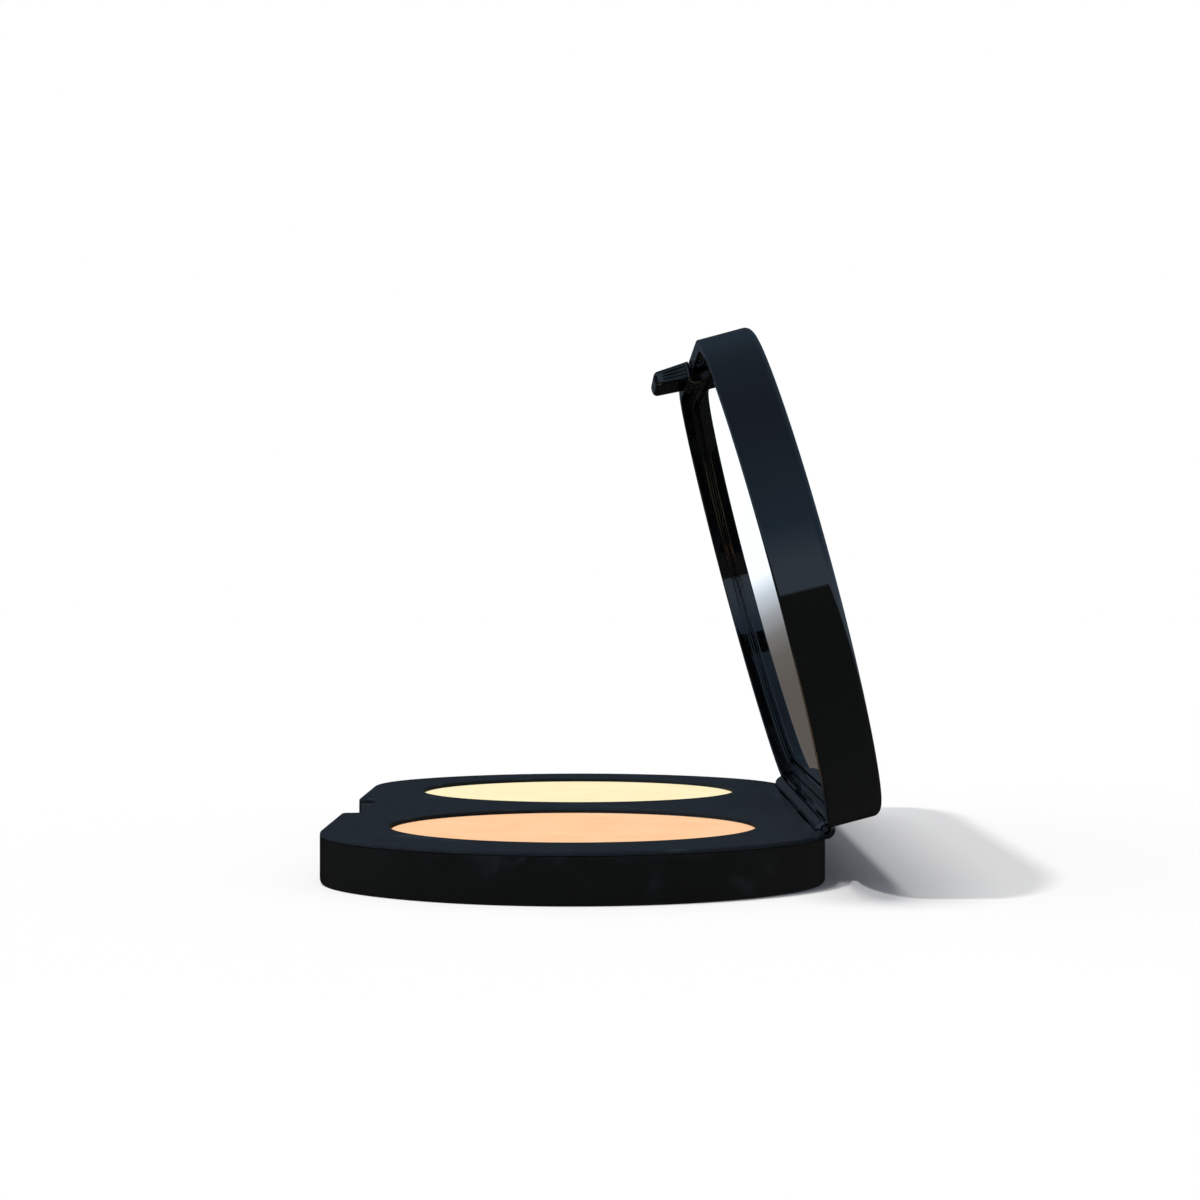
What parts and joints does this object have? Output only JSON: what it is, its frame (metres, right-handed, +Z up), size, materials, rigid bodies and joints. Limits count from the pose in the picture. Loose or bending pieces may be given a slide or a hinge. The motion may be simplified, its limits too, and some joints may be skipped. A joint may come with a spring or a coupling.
{
  "type": "powder compact",
  "caption": "Slim oblong powder compact with round ends, round wells of pressed powder in the base, a hinged lid holding a mirror, and a latch tongue that drops into a front notch.",
  "frame": {"origin": "centre of the underside of the base", "axes": "+X along the hinge towards the peach well, +Y from the front notch towards the hinge, +Z up out of the base"},
  "size_m": [0.1, 0.0553, 0.0547],
  "materials": {
    "case_gloss": "glossy near-black navy ABS, polished, with faint handling marks",
    "deck_satin": "satin near-black navy ABS with a fine moulded grain",
    "pan_metal": "pressed thin aluminium, satin",
    "pin_metal": "drawn steel wire, satin",
    "mirror_glass": "back-silvered float glass",
    "adhesive_foam": "off-white double-sided foam adhesive",
    "powder_peach": "pressed powder, peach, matt with a fine grain",
    "powder_ivory": "pressed powder, pale ivory yellow, matt with a fine grain"
  },
  "bodies": {
    "base": {"base_shell": "case_gloss", "base_deck": "deck_satin", "peach_pan_pad": "adhesive_foam", "peach_pan": "pan_metal", "peach_powder": "powder_peach", "ivory_pan_pad": "adhesive_foam", "ivory_pan": "pan_metal", "ivory_powder": "powder_ivory", "hinge_pin_left": "pin_metal", "hinge_pin_right": "pin_metal"},
    "lid": {"lid_shell": "case_gloss", "lid_bezel": "case_gloss", "mirror": "mirror_glass", "mirror_tape": "adhesive_foam", "latch_tongue": "case_gloss"}
  },
  "joints": [
    {"name": "lid_hinge", "type": "hinge", "parent": "base", "child": "lid", "pos_m": [0, 0.025, 0.00517], "axis": [-1, 0, 0], "range_deg": [-75, 75]}
  ]
}
